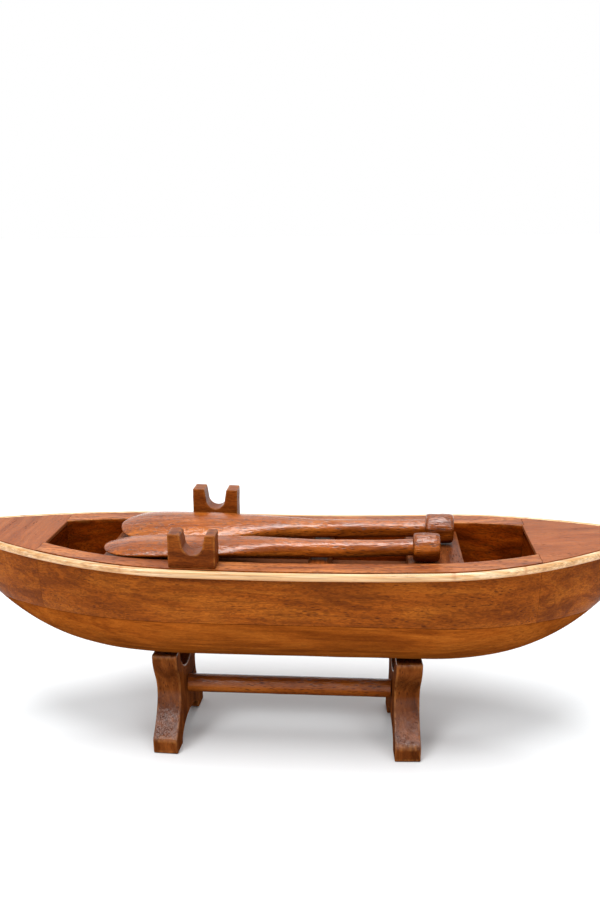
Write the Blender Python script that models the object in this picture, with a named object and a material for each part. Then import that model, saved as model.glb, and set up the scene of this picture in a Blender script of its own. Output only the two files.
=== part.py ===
"""Wooden canoe display model on its own stand, with two loose paddles.

Metres, +Z up. X runs along the canoe, with the bow at -X and the stern at +X, and Y runs across it.
The origin is on the surface that the stand's feet rest on, midway between the canoe's two tips.
"""
import math
from collections import namedtuple

import bmesh
import bpy

# General
GAP = 0.0003            # space left between pieces that are glued or laid together

# Hull lines
HALF_LENGTH = 0.1704    # from amidships to either tip
BEAM_HALF = 0.0430      # half width over the cane strip, amidships
RIM_MID = 0.1010        # height of the rails amidships
SHEER = 0.00336         # rise of the rails from amidships to the bulkheads
BULKHEAD_X = 0.1125     # where the well ends, fore and aft
KEEL_MID = 0.0490       # lowest height of the hull
KEEL_SHAPE = 3.25       # power of the keel's rise towards each end
SECTION_SHAPE = 3.1     # power of the cross-section, 2 for an ellipse and more for a fuller bilge
GLUE_LINE = 0.0748      # height of the joint between the bottom block and what stands on it

# Each end of the hull: end of the parallel sides, power of its plan curve, end of the level keel
HULL_ENDS = {
    "bow": (0.0456, 1.95, 0.039),
    "stern": (0.0674, 1.97, 0.047),
}
END_SIGN = {"bow": -1, "stern": 1}

# Cane strip, rails, decks and the boards in the well
CANE_WIDTH = 0.0031
CANE_HEIGHT = 0.0034
CANE_ROUND = 0.0009     # how far the strip's outer corners are rounded off
CANE_ROUND_SHARE = 0.3  # the same as the largest share of the strip's width
CANE_THIN = 0.0005      # half width of the canoe where the two strips stop at a tip
RAIL_WIDTH = 0.0113
BOW_RAIL_THIN = 0.0018  # how much narrower the rails get halfway round their bend at the bow
DECK_THICKNESS = 0.0021
STEM_HALF = 0.0012      # half width of the wood where a hull piece is cut off at the tip
FLOOR_TOP = 0.0815
BOARD_TOP = 0.0980      # top of both seats
BOARD_THICKNESS = 0.0063
SEATS = {"seat_bow": (-0.0854, -0.0600), "seat_stern": (0.0556, 0.0810)}
THWART_X = (0.0104, 0.0208)
THWART_TOP = 0.0985
THWART_CHAMFER = 0.0013

# Rowlock blocks: middle along X, length, height, the notch's offset towards the stern and its depth
Rowlock = namedtuple("Rowlock", "x length height notch_shift notch_depth")
ROWLOCKS = {
    "rowlock_near": Rowlock(-0.0388, 0.0208, 0.0153, 0.0004, 0.0093),
    "rowlock_far": Rowlock(-0.0396, 0.0224, 0.0161, 0.0001, 0.0101),
}
ROWLOCK_INNER_Y = 0.0291
ROWLOCK_DEPTH = 0.0096
ROWLOCK_EDGE = 0.0004   # width of the flat that breaks its edges
NOTCH_TOP = 0.0112      # width of the notch at the top
NOTCH_BOTTOM = 0.0094   # diameter of the notch's round bottom

# Paddles: blade tip, shaft end at the grip and grip end along X, blade axis and grip axis across Y,
# blade width, shaft diameter, grip diameter, sideways lean in degrees
Paddle = namedtuple("Paddle", "tip shaft_end grip_end blade_y grip_y width shaft grip lean")
PADDLES = {
    "paddle_far": Paddle(-0.0840, 0.0648, 0.0778, 0.0147, 0.0096, 0.0294, 0.0088, 0.0144, 8.5),
    "paddle_near": Paddle(-0.0842, 0.0578, 0.0696, -0.0148, -0.0160, 0.0268, 0.0082, 0.0134, -0.8),
}
BLADE_THICKNESS = 0.0088
BLADE_EDGE = 0.0022     # thickness of the blade's blunt edge
BLADE_CROWN = 2.3       # power of the rise from the blade's edge to its middle, more for a fuller one
BLADE_REST = 0.026      # from the tip to the middle of what lies on the bow seat
# Along a paddle as metres from the tip: share of the blade's width and thickness
BLADE_STATIONS = (
    (0.0008, 0.25, 0.30),
    (0.0030, 0.56, 0.42),
    (0.0065, 0.80, 0.58),
    (0.0110, 0.955, 0.78),
    (0.0180, 1.00, 0.95),
    (0.0340, 0.985, 1.00),
    (0.0480, 0.93, 1.00),
    (0.0580, 0.81, 1.00),
    (0.0680, 0.63, 1.02),
)
# Along the neck as metres from the tip: share of the blade's width and thickness, and its sag
NECK_STATIONS = (
    (0.0780, 0.49, 1.02, 0.0003),
    (0.0880, 0.41, 0.99, 0.0005),
    (0.0990, 0.35, 0.93, 0.0007),
)
# Along the shaft as metres from the tip: share of the shaft's diameter, and its sag
SHAFT_STATIONS = (
    (0.1130, 1.08, 0.0007),
    (0.1270, 1.00, 0.0005),
)
SHAFT_END_SHARE = 0.98
SHAFT_FLATNESS = 0.93   # height of the shaft over its width
GRIP_ROUND = 0.0014     # how far the grip's outer end is rounded off
RING_POINTS = 16        # points round a paddle's section
GRIP_POINTS = 20        # points round a grip or the dowel

# Stand
# Each plate: its two faces along X on the centre line, and its turn about the vertical in degrees
PLATES = {"stand_bow": (-0.0636, -0.0516, -2.4), "stand_stern": (0.0504, 0.0627, 3.8)}
HORN_TOP = 0.0493
HORN_OUTER = {"stand_bow": 0.0206, "stand_stern": 0.0229}   # the hand-cut plates differ
HORN_STRAIGHT = 0.0025
SADDLE_RADIUS = 0.0132
WAIST_HEIGHT = 0.0290
WAIST_HALF = 0.0155
FOOT_HEIGHT = 0.0079
FOOT_OUTER = 0.0283
ARCH_HALF = 0.0177
ARCH_HEIGHT = 0.0095
PLATE_EDGE = 0.0005
DOWEL_RADIUS = 0.0047
DOWEL_HEIGHT = 0.0245

# Finish of each wood: colour and roughness
FINISHES = {
    "hull_wood": ((0.36, 0.13, 0.035), 0.30),
    "rail_wood": ((0.34, 0.13, 0.055), 0.42),
    "well_wood": ((0.17, 0.075, 0.040), 0.60),
    "paddle_wood": ((0.38, 0.13, 0.032), 0.28),
    "stand_wood": ((0.24, 0.085, 0.028), 0.38),
    "cane": ((0.72, 0.47, 0.19), 0.45),
}


def clear_scene():
    """Remove every object of the open scene."""
    for thing in list(bpy.data.objects):
        bpy.data.objects.remove(thing, do_unlink=True)


def finish(node, wood):
    """Give a node its own Principled material in the named finish."""
    colour, roughness = FINISHES[wood]
    material = bpy.data.materials.new(node.name + "_" + wood)
    material.use_nodes = True
    shader = material.node_tree.nodes["Principled BSDF"]
    shader.inputs["Base Color"].default_value = (*colour, 1.0)
    shader.inputs["Roughness"].default_value = roughness
    shader.inputs["Metallic"].default_value = 0.0
    node.data.materials.append(material)


def make_node(name, bm, wood):
    """Turn a bmesh into a named, finished object with outward faces."""
    bmesh.ops.recalc_face_normals(bm, faces=bm.faces)
    mesh = bpy.data.meshes.new(name)
    bm.to_mesh(mesh)
    bm.free()
    node = bpy.data.objects.new(name, mesh)
    bpy.context.collection.objects.link(node)
    finish(node, wood)
    return node


def loft(name, rings, wood):
    """Skin a row of rings that have the same number of points, and cap both ends."""
    bm = bmesh.new()
    rows = [[bm.verts.new(point) for point in ring] for ring in rings]
    count = len(rows[0])
    for row, after in zip(rows, rows[1:]):
        for i in range(count):
            j = (i + 1) % count
            bm.faces.new((row[i], row[j], after[j], after[i]))
    bm.faces.new(rows[0])
    bm.faces.new(rows[-1])
    return make_node(name, bm, wood)


def spread(start, end, count):
    """Return count evenly spaced values from start to end."""
    return [start + (end - start) * i / (count - 1) for i in range(count)]


def eased(start, end, count):
    """Return count values from start to end that crowd towards the end."""
    return [start + (end - start) * math.sin(math.pi / 2 * i / (count - 1)) for i in range(count)]


def end_at(x):
    """Return the table row of the hull's end on this side of amidships."""
    return HULL_ENDS["bow" if x < 0 else "stern"]


def beam(x):
    """Half width over the cane strip."""
    parallel, power, _ = end_at(x)
    t = max(0.0, (abs(x) - parallel) / (HALF_LENGTH - parallel))
    return BEAM_HALF * (1.0 - t ** power)


def slant(x):
    """Length of the plan curve for one unit along X."""
    step = 0.0005
    slope = (beam(x + step) - beam(x - step)) / (2 * step)
    return math.hypot(1.0, slope)


def wood_half(x):
    """Half width of the wood inside the cane strip, at the rail."""
    return beam(x) - CANE_WIDTH * slant(x) - GAP


def well_half(x):
    """Half width of the well between the side planks."""
    parallel = HULL_ENDS["bow"][0]
    bend = min(1.0, max(0.0, (-x - parallel) / (BULKHEAD_X - parallel)))
    return beam(x) - CANE_WIDTH - RAIL_WIDTH + BOW_RAIL_THIN * math.sin(math.pi * bend)


def rim(x):
    """Height of the rails and decks."""
    return RIM_MID + SHEER * (x / BULKHEAD_X) ** 2


def keel(x):
    """Height of the hull's bottom on the centre line."""
    _, _, level = end_at(x)
    t = max(0.0, (abs(x) - level) / (HALF_LENGTH - level)) ** KEEL_SHAPE
    return KEEL_MID + (rim(x) - KEEL_MID) * t


def tip_where(value, sign, limit):
    """Walk from amidships towards a tip until value(x) falls under the limit."""
    x = 0.0
    step = 0.0001
    while value(sign * (x + step)) > limit:
        x += step
    return sign * x


def side_angle(x, z):
    """Angle round the cross-section at a height: 0 at the rail, a right angle at the keel."""
    depth = (rim(x) - z) / (rim(x) - keel(x))
    return math.asin(min(1.0, max(0.0, depth)) ** (SECTION_SHAPE / 2))


def side_point(x, angle):
    """Point of the hull's side at an angle round the cross-section."""
    y = wood_half(x) * math.cos(angle) ** (2 / SECTION_SHAPE)
    z = rim(x) - (rim(x) - keel(x)) * math.sin(angle) ** (2 / SECTION_SHAPE)
    return y, z


def side_points(x, z_low, z_high, count):
    """Points down the hull's side between two heights, stopping short of the keel."""
    start = side_angle(x, z_high)
    end = max(min(side_angle(x, z_low), math.radians(80)), start + math.radians(2))
    return [side_point(x, angle) for angle in spread(start, end, count)]


def block_ring(x, z_low, z_high, count):
    """Ring round a solid slice of the hull between two heights."""
    side = side_points(x, z_low, z_high, count)
    low = max(z_low, keel(x))
    ring = [(x, y, z) for y, z in side]
    ring.append((x, 0.0, low))
    ring.extend((x, -y, z) for y, z in reversed(side))
    return ring


def bottom_block():
    """Carved bottom of the hull, from keel to glue line."""
    room = 0.0010
    bow = tip_where(lambda x: GLUE_LINE - keel(x), -1, room)
    stern = tip_where(lambda x: GLUE_LINE - keel(x), 1, room)
    stations = eased(0.0, bow, 13)[:0:-1] + eased(0.0, stern, 13)
    loft("bottom_block", [block_ring(x, 0.0, GLUE_LINE, 9) for x in stations], "hull_wood")


def end_block(end):
    """Solid end of the hull under its deck, from bulkhead to tip."""
    sign = END_SIGN[end]
    start = sign * BULKHEAD_X
    tip = tip_where(wood_half, sign, STEM_HALF)
    stations = spread(start, tip, 14)
    rings = []
    for x in stations:
        rings.append(block_ring(x, GLUE_LINE + GAP, rim(x) - DECK_THICKNESS - GAP, 7))
    loft(end + "_block", rings, "hull_wood")


def deck(end):
    """Thin deck plate on an end block, flush with the rails."""
    sign = END_SIGN[end]
    start = sign * BULKHEAD_X
    tip = tip_where(wood_half, sign, STEM_HALF)
    rings = []
    for x in spread(start, tip, 14):
        top = rim(x)
        low = top - DECK_THICKNESS
        half = wood_half(x)
        rings.append([(x, half, low), (x, half, top), (x, -half, top), (x, -half, low)])
    loft(end + "_deck", rings, "rail_wood")


def side_plank(name, side):
    """Side of the hull beside the well; its flat top is the rail."""
    rings = []
    reach = BULKHEAD_X - GAP
    low = GLUE_LINE + GAP
    for x in spread(-reach, reach, 25):
        outer = side_points(x, low, rim(x), 5)
        inner = well_half(x)
        ring = [(x, side * y, z) for y, z in outer]
        ring.append((x, side * inner, low))
        ring.append((x, side * inner, rim(x)))
        rings.append(ring)
    loft(name, rings, "hull_wood")


def cane_strip(name, side):
    """Split cane strip bent round the top edge of the hull, from tip to tip."""
    bow = tip_where(beam, -1, CANE_THIN)
    stern = tip_where(beam, 1, CANE_THIN)
    stations = eased(0.0, bow, 20)[:0:-1] + eased(0.0, stern, 20)
    rings = []
    for x in stations:
        outer = beam(x)
        inner = max(outer - CANE_WIDTH * slant(x), GAP / 2)
        round_off = min(CANE_ROUND, CANE_ROUND_SHARE * (outer - inner))
        top = rim(x)
        low = top - CANE_HEIGHT
        profile = [
            (inner, low),
            (outer - round_off, low),
            (outer, low + round_off),
            (outer, top - round_off),
            (outer - round_off, top),
            (inner, top),
        ]
        rings.append([(x, side * y, z) for y, z in profile])
    loft(name, rings, "cane")


def board(name, ends, top, thickness, count, wood):
    """Board that fills the well from side to side between two places along X."""
    rings = []
    for x in spread(ends[0], ends[1], count):
        half = well_half(x) - GAP
        low = top - thickness
        rings.append([(x, half, low), (x, half, top), (x, -half, top), (x, -half, low)])
    loft(name, rings, wood)


def floor_board():
    """Flat floor of the well, on the bottom block."""
    reach = BULKHEAD_X - GAP
    top = FLOOR_TOP
    board("floor_board", (-reach, reach), top, top - GLUE_LINE - GAP, 17, "well_wood")


def thwart():
    """Narrow cross bar with its long top edges planed off."""
    x0, x1 = THWART_X
    low = THWART_TOP - BOARD_THICKNESS
    shoulder = THWART_TOP - THWART_CHAMFER
    half = well_half(x0) - GAP
    profile = [
        (x0, low),
        (x1, low),
        (x1, shoulder),
        (x1 - THWART_CHAMFER, THWART_TOP),
        (x0 + THWART_CHAMFER, THWART_TOP),
        (x0, shoulder),
    ]
    loft("thwart", [[(x, y, z) for x, z in profile] for y in (-half, half)], "rail_wood")


def bevel_edges(node, width):
    """Break a node's sharp edges by a small flat."""
    modifier = node.modifiers.new("edges", "BEVEL")
    modifier.width = width
    modifier.segments = 1
    modifier.limit_method = "ANGLE"
    modifier.angle_limit = math.radians(50)


def rowlock(name, side):
    """Block with a U notch, glued on the rail and leaning with the sheer."""
    size = ROWLOCKS[name]
    half = size.length / 2
    radius = NOTCH_BOTTOM / 2
    shift = size.notch_shift
    centre = size.height - size.notch_depth + radius
    profile = [(-half, 0.0), (half, 0.0), (half, size.height)]
    profile.append((shift + NOTCH_TOP / 2, size.height))
    steps = 12
    for i in range(steps + 1):
        angle = -math.pi * i / steps
        profile.append((shift + radius * math.cos(angle), centre + radius * math.sin(angle)))
    profile.append((shift - NOTCH_TOP / 2, size.height))
    profile.append((-half, size.height))
    rings = [[(x, y, z) for x, z in profile] for y in (0.0, ROWLOCK_DEPTH)]
    node = loft(name, rings, "rail_wood")
    slope = 2 * SHEER * size.x / BULKHEAD_X ** 2
    inner = ROWLOCK_INNER_Y
    node.location = (size.x, inner if side > 0 else -inner - ROWLOCK_DEPTH, rim(size.x) + GAP)
    node.rotation_euler = (0.0, -math.atan(slope), 0.0)
    bevel_edges(node, ROWLOCK_EDGE)


def blade_ring(s, width, thickness):
    """Lens-shaped ring across a blade, with a blunt edge."""
    edge = min(BLADE_EDGE, thickness) / 2
    ring = []
    for i in range(RING_POINTS):
        angle = 2 * math.pi * i / RING_POINTS
        across = math.cos(angle)
        face = math.copysign(1.0, math.sin(angle))
        blunt = edge * math.sqrt(abs(math.sin(angle)))
        crown = (thickness / 2 - edge) * (1.0 - abs(across) ** BLADE_CROWN)
        ring.append((s, width / 2 * across, face * (blunt + crown)))
    return ring


def oval_ring(s, width, thickness, count, sag=0.0):
    """Oval ring across a shaft or grip, with its middle so far below the axis."""
    angles = [2 * math.pi * i / count for i in range(count)]
    return [(s, width / 2 * math.cos(a), thickness / 2 * math.sin(a) - sag) for a in angles]


def paddle_body(name):
    """Blade and shaft of a paddle in one piece, along X from the tip."""
    size = PADDLES[name]
    rings = []
    for s, wide, thick in BLADE_STATIONS:
        rings.append(blade_ring(s, size.width * wide, BLADE_THICKNESS * thick))
    for s, wide, thick, sag in NECK_STATIONS:
        rings.append(oval_ring(s, size.width * wide, BLADE_THICKNESS * thick, RING_POINTS, sag))
    end = size.shaft_end - GAP - size.tip
    for s, share, sag in SHAFT_STATIONS + ((end, SHAFT_END_SHARE, 0.0),):
        width = size.shaft * share
        rings.append(oval_ring(s, width, width * SHAFT_FLATNESS, RING_POINTS, sag))
    return loft(name, rings, "paddle_wood")


def paddle_grip(name):
    """Barrel grip of a paddle, along X from the blade's tip."""
    size = PADDLES[name]
    start = size.shaft_end - size.tip
    end = size.grip_end - size.tip
    turned = (
        (start, size.grip - GRIP_ROUND),
        (start + GRIP_ROUND / 2, size.grip),
        (end - GRIP_ROUND, size.grip),
        (end, size.grip - 2 * GRIP_ROUND),
    )
    rings = [oval_ring(s, across, across, GRIP_POINTS) for s, across in turned]
    return loft(name + "_grip", rings, "paddle_wood")


def soften(node):
    """Shade a round piece smooth, with its corners kept."""
    node.data.shade_smooth()
    node.data.set_sharp_from_angle(angle=math.radians(40))


def paddle(name):
    """Carved paddle as two nodes under one parent, laid on both seats and leaning to one side."""
    size = PADDLES[name]
    holder = bpy.data.objects.new(name + "_axis", None)
    bpy.context.collection.objects.link(holder)
    for node in (paddle_body(name), paddle_grip(name)):
        soften(node)
        node.parent = holder
    lean = math.radians(size.lean)
    half_up = BLADE_THICKNESS / 2 * math.cos(lean)
    half_across = size.width / 2 * math.sin(lean)
    blade_z = BOARD_TOP + GAP + math.hypot(half_up, half_across)
    grip_z = BOARD_TOP + GAP + size.grip / 2
    run = (size.shaft_end + size.grip_end) / 2 - size.tip - BLADE_REST
    pitch = math.atan((grip_z - blade_z) / run)
    yaw = math.atan((size.grip_y - size.blade_y) / run)
    holder.rotation_euler = (lean, -pitch, yaw)
    holder.location = (
        size.tip,
        size.blade_y - BLADE_REST * math.tan(yaw),
        blade_z - BLADE_REST * math.tan(pitch),
    )


def plate_outline(horn_outer):
    """Outline of a stand plate, across Y and up Z, as a closed ring."""
    half = []
    for angle in spread(-math.pi / 2, 0.0, 9):
        half.append((SADDLE_RADIUS * math.cos(angle), HORN_TOP + SADDLE_RADIUS * math.sin(angle)))
    half.append((horn_outer, HORN_TOP))
    top = HORN_TOP - HORN_STRAIGHT
    for share in spread(0.0, 1.0, 6):
        y = WAIST_HALF + (horn_outer - WAIST_HALF) * (1 + math.cos(math.pi * share)) / 2
        half.append((y, top + (WAIST_HEIGHT - top) * share))
    for share in spread(0.0, 1.0, 7)[1:]:
        y = WAIST_HALF + (FOOT_OUTER - WAIST_HALF) * share ** 2
        half.append((y, WAIST_HEIGHT + (FOOT_HEIGHT - WAIST_HEIGHT) * share))
    half.append((FOOT_OUTER, 0.0))
    for angle in spread(0.0, math.pi / 2, 9):
        half.append((ARCH_HALF * math.cos(angle), ARCH_HEIGHT * math.sin(angle)))
    return half + [(-y, z) for y, z in reversed(half[1:-1])]


def stand_plate(name):
    """Hourglass plate of the stand, with its saddle and the arch between its feet."""
    low, high, turn = PLATES[name]
    middle = (low + high) / 2
    half = (high - low) / 2
    outline = plate_outline(HORN_OUTER[name])
    node = loft(name, [[(x, y, z) for y, z in outline] for x in (-half, half)], "stand_wood")
    node.location = (middle, 0.0, 0.0)
    node.rotation_euler = (0.0, 0.0, math.radians(turn))
    bevel_edges(node, PLATE_EDGE)


def plate_face(name, sign):
    """Where the dowel has to end to stay clear of a turned plate's face."""
    low, high, turn = PLATES[name]
    angle = math.radians(turn)
    half = (high - low) / 2 / math.cos(angle)
    return (low + high) / 2 + sign * (half + DOWEL_RADIUS * abs(math.tan(angle)) + GAP)


def stand_dowel():
    """Round rod that holds the stand's plates apart."""
    rings = []
    for x in (plate_face("stand_bow", 1), plate_face("stand_stern", -1)):
        ring = oval_ring(x, 2 * DOWEL_RADIUS, 2 * DOWEL_RADIUS, GRIP_POINTS)
        rings.append([(x, y, DOWEL_HEIGHT + z) for x, y, z in ring])
    soften(loft("stand_dowel", rings, "stand_wood"))


def main():
    clear_scene()
    bottom_block()
    floor_board()
    for end in HULL_ENDS:
        end_block(end)
        deck(end)
    for name, side in (("near", -1), ("far", 1)):
        side_plank("side_" + name, side)
        cane_strip("cane_" + name, side)
        rowlock("rowlock_" + name, side)
    for name, ends in SEATS.items():
        board(name, ends, BOARD_TOP, BOARD_THICKNESS, 5, "well_wood")
    thwart()
    for name in PADDLES:
        paddle(name)
    for name in PLATES:
        stand_plate(name)
    stand_dowel()


main()
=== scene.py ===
import math

import bmesh
import bpy
from mathutils import Euler, Matrix, Vector, noise


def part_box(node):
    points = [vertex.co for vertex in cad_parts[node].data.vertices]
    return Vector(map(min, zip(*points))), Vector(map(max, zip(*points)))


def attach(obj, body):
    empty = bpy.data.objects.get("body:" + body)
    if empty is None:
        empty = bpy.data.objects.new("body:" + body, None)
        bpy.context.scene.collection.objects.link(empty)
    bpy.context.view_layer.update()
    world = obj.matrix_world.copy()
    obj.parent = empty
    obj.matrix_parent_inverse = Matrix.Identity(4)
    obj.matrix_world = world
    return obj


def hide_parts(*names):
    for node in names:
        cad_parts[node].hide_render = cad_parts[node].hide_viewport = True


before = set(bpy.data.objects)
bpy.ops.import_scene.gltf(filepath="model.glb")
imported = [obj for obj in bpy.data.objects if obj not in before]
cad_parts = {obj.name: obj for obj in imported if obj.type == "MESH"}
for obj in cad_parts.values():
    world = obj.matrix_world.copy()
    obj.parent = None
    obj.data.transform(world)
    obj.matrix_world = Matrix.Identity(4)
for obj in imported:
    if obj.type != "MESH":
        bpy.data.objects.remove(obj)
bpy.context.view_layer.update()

# Camera of the photograph, found from marked points and outlines
FOCAL_PIXELS = 891.4
IMAGE_WIDTH = 600
IMAGE_HEIGHT = 900
CENTRE_PIXEL = (299.1, 560.9)
CAMERA_PLACE = (0.03716, -0.39565, 0.24052)
CAMERA_YAW = 4.647
CAMERA_PITCH = 20.607
CAMERA_ROLL = -0.551
SENSOR = 36.0
CLIP = (0.01, 50.0)

# Hull lines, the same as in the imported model
HALF_LENGTH = 0.1704
BEAM_HALF = 0.0430
RIM_MID = 0.1010
SHEER = 0.00336
BULKHEAD_X = 0.1125
KEEL_MID = 0.0490
KEEL_SHAPE = 3.25
SECTION_SHAPE = 3.1
GLUE_LINE = 0.0748
HULL_ENDS = {
    "bow": (0.0456, 1.95, 0.039),
    "stern": (0.0674, 1.97, 0.047),
}
END_SIGN = {"bow": -1, "stern": 1}
CANE_WIDTH = 0.0031
CANE_HEIGHT = 0.0034
RAIL_WIDTH = 0.0113
BOW_RAIL_THIN = 0.0018
DECK_THICKNESS = 0.0021
STEM_HALF = 0.0012
BOARD_THICKNESS = 0.0063

# How closely the dressed pieces meet, and how softly their edges are broken
SEAM = 0.0001
DECK_LIP = 0.0008
DECK_EDGE = 0.0004
RAIL_EDGE = 0.0006
BOARD_EDGE = 0.0007
FLOOR_EDGE = 0.0002
THWART_EDGE = 0.00025
THWART_CUT = 0.0013
ROWLOCK_EDGE = 0.0004
ROWLOCK_CORNER = 0.0007
ROWLOCK_INSET = 0.0009
PLATE_EDGE = 0.0005
PLATE_CORNER = 0.0012
PLATE_INSET = 0.0012
GRIP_EDGE = 0.0016
WELD = 0.000002

# How finely the pieces are divided
HULL_STATIONS = 70
SIDE_STATIONS = 190
SIDE_STEPS = 20
RAIL_STEPS = 9
EDGE_STEPS = 5
DECK_COLUMNS = 20
CANE_STATIONS = 240
CANE_POINTS = 60
TRACE_STEP = 0.0008
ROD_STATIONS = 120
ROD_POINTS = 32
PADDLE_STATIONS = 90
PADDLE_POINTS = 56
GRIP_POINTS = 48

# How far hand work and sanding leave the surfaces uneven
HULL_DIP = 0.00016
DIP_RADIUS = 0.04
WALL_WAVE = 0.00018
RAIL_DIP = 0.00012
DECK_DIP = 0.0001
BOARD_DIP = 0.00006
ROWLOCK_WAVE = 0.00008
PLATE_WAVE = 0.00012
ROD_WAVE = 0.012

# Rowlocks: middle along X, length, height, the notch's offset towards the stern and its depth
ROWLOCKS = {
    "rowlock_near": (-0.0388, 0.0208, 0.0153, 0.0004, 0.0093),
    "rowlock_far": (-0.0396, 0.0224, 0.0161, 0.0001, 0.0101),
}
ROWLOCK_INNER_Y = 0.0291
ROWLOCK_DEPTH = 0.0096
NOTCH_TOP = 0.0112
NOTCH_BOTTOM = 0.0094

# Stand
PLATES = {"stand_bow": (-0.0636, -0.0516, -2.4), "stand_stern": (0.0504, 0.0627, 3.8)}
HORN_TOP = 0.0493
HORN_OUTER = {"stand_bow": 0.0206, "stand_stern": 0.0229}
HORN_STRAIGHT = 0.0025
SADDLE_RADIUS = 0.0132
WAIST_HEIGHT = 0.0290
WAIST_HALF = 0.0155
FOOT_HEIGHT = 0.0079
FOOT_OUTER = 0.0283
ARCH_HALF = 0.0177
ARCH_HEIGHT = 0.0095
DOWEL_RADIUS = 0.0047
DOWEL_HEIGHT = 0.0245

# Paddles: tip, shaft end and grip end along X, blade and grip axis across Y, widths, lean in degrees
PADDLES = {
    "paddle_far": dict(tip=-0.0840, shaft_end=0.0648, grip_end=0.0778, blade_y=0.0147, grip_y=0.0096,
                       width=0.0294, shaft=0.0088, grip=0.0144, lean=8.5, seed=3.0),
    "paddle_near": dict(tip=-0.0842, shaft_end=0.0578, grip_end=0.0696, blade_y=-0.0148, grip_y=-0.0160,
                        width=0.0268, shaft=0.0082, grip=0.0134, lean=-0.8, seed=11.0),
}
BLADE_THICKNESS = 0.0088
BLADE_REST = 0.026
BOARD_TOP = 0.0980
GAP = 0.0003


def spread(start, end, count):
    """Return count evenly spaced values from start to end."""
    return [start + (end - start) * i / (count - 1) for i in range(count)]


def eased(start, end, count):
    """Return count values from start to end that crowd towards the end."""
    return [start + (end - start) * math.sin(math.pi / 2 * i / (count - 1)) for i in range(count)]


def mix(a, b, share):
    """Blend two numbers."""
    return a + (b - a) * share


def smooth(low, high, value):
    """Ease from 0 at low to 1 at high."""
    t = min(1.0, max(0.0, (value - low) / (high - low)))
    return t * t * (3 - 2 * t)


def rough(x, y, z, size, seed=0.0):
    """Smooth unevenness between -1 and 1 with features of about the given size."""
    return noise.noise(Vector((x / size + seed, y / size - seed, z / size + 0.5 * seed)))


# Hull lines

def end_at(x):
    """Return the row of the hull's end on this side of amidships."""
    return HULL_ENDS["bow" if x < 0 else "stern"]


def beam(x):
    """Half width over the cane strip."""
    parallel, power, _ = end_at(x)
    t = max(0.0, (abs(x) - parallel) / (HALF_LENGTH - parallel))
    return BEAM_HALF * (1.0 - t ** power)


def slant(x):
    """Length of the plan curve for one unit along X."""
    step = 0.0005
    return math.hypot(1.0, (beam(x + step) - beam(x - step)) / (2 * step))


def wood_half(x):
    """Half width of the wood inside the cane strip, at the rail."""
    return beam(x) - CANE_WIDTH * slant(x) - SEAM


def well_half(x):
    """Half width of the well between the side planks."""
    parallel = HULL_ENDS["bow"][0]
    bend = min(1.0, max(0.0, (-x - parallel) / (BULKHEAD_X - parallel)))
    return beam(x) - CANE_WIDTH - RAIL_WIDTH + BOW_RAIL_THIN * math.sin(math.pi * bend)


def rim(x):
    """Height of the rails and decks."""
    return RIM_MID + SHEER * (x / BULKHEAD_X) ** 2


def keel(x):
    """Height of the hull's bottom on the centre line."""
    _, _, level = end_at(x)
    t = max(0.0, (abs(x) - level) / (HALF_LENGTH - level)) ** KEEL_SHAPE
    return KEEL_MID + (rim(x) - KEEL_MID) * t


def tip_where(value, sign, limit):
    """Walk from amidships towards a tip until value(x) falls under the limit."""
    x = 0.0
    step = 0.0001
    while value(sign * (x + step)) > limit:
        x += step
    return sign * x


def side_angle(x, z):
    """Angle round the cross-section at a height: 0 at the rail, a right angle at the keel."""
    depth = (rim(x) - z) / (rim(x) - keel(x))
    return math.asin(min(1.0, max(0.0, depth)) ** (SECTION_SHAPE / 2))


def side_point(x, angle, side):
    """Point of the hull's side, hand-finished: its surface waves a little inwards."""
    y = wood_half(x) * max(0.0, math.cos(angle)) ** (2 / SECTION_SHAPE)
    z = rim(x) - (rim(x) - keel(x)) * max(0.0, math.sin(angle)) ** (2 / SECTION_SHAPE)
    dip = HULL_DIP * (1 + rough(x, side * y, z, 0.021, 4.0))
    scale = 1 - dip / DIP_RADIUS
    return (x, side * y * scale, z + dip * math.sin(angle))


# Meshes

def build(name, rows, body, materials, pick=None, sharp=40.0, caps=0):
    """Skin rows of points into one closed, smoothly shaded piece that rides on a body."""
    bm = bmesh.new()
    # Per-point mark: worn edges painted lighter as wear and highlight, and the cane's painted groove
    # shade and nodes
    wear_and_painted_light = bm.verts.layers.float.new("wear_and_painted_light")
    grid = []
    for row in rows:
        line = []
        for point in row:
            vert = bm.verts.new(point[:3])
            vert[wear_and_painted_light] = point[3] if len(point) > 3 else 0.0
            line.append(vert)
        grid.append(line)
    count = len(grid[0])
    for r in range(len(grid) - 1):
        for i in range(count):
            j = (i + 1) % count
            face = bm.faces.new((grid[r][i], grid[r][j], grid[r + 1][j], grid[r + 1][i]))
            face.material_index = pick(i) if pick else 0
    for line in (grid[0], grid[-1]):
        bm.faces.new(line).material_index = caps
    return settle(name, bm, body, materials, sharp)


def settle(name, bm, body, materials, sharp):
    """Clean a bmesh and turn it into a finished piece."""
    bmesh.ops.remove_doubles(bm, verts=bm.verts, dist=WELD)
    bmesh.ops.recalc_face_normals(bm, faces=bm.faces)
    mesh = bpy.data.meshes.new(name)
    bm.to_mesh(mesh)
    bm.free()
    piece = bpy.data.objects.new(name, mesh)
    bpy.context.scene.collection.objects.link(piece)
    for material in materials:
        mesh.materials.append(material)
    mesh.shade_smooth()
    mesh.set_sharp_from_angle(angle=math.radians(sharp))
    piece["body"] = body
    return piece


def place(piece, *nodes):
    """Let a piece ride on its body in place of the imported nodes."""
    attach(piece, piece["body"])
    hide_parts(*nodes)


# Materials

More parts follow.
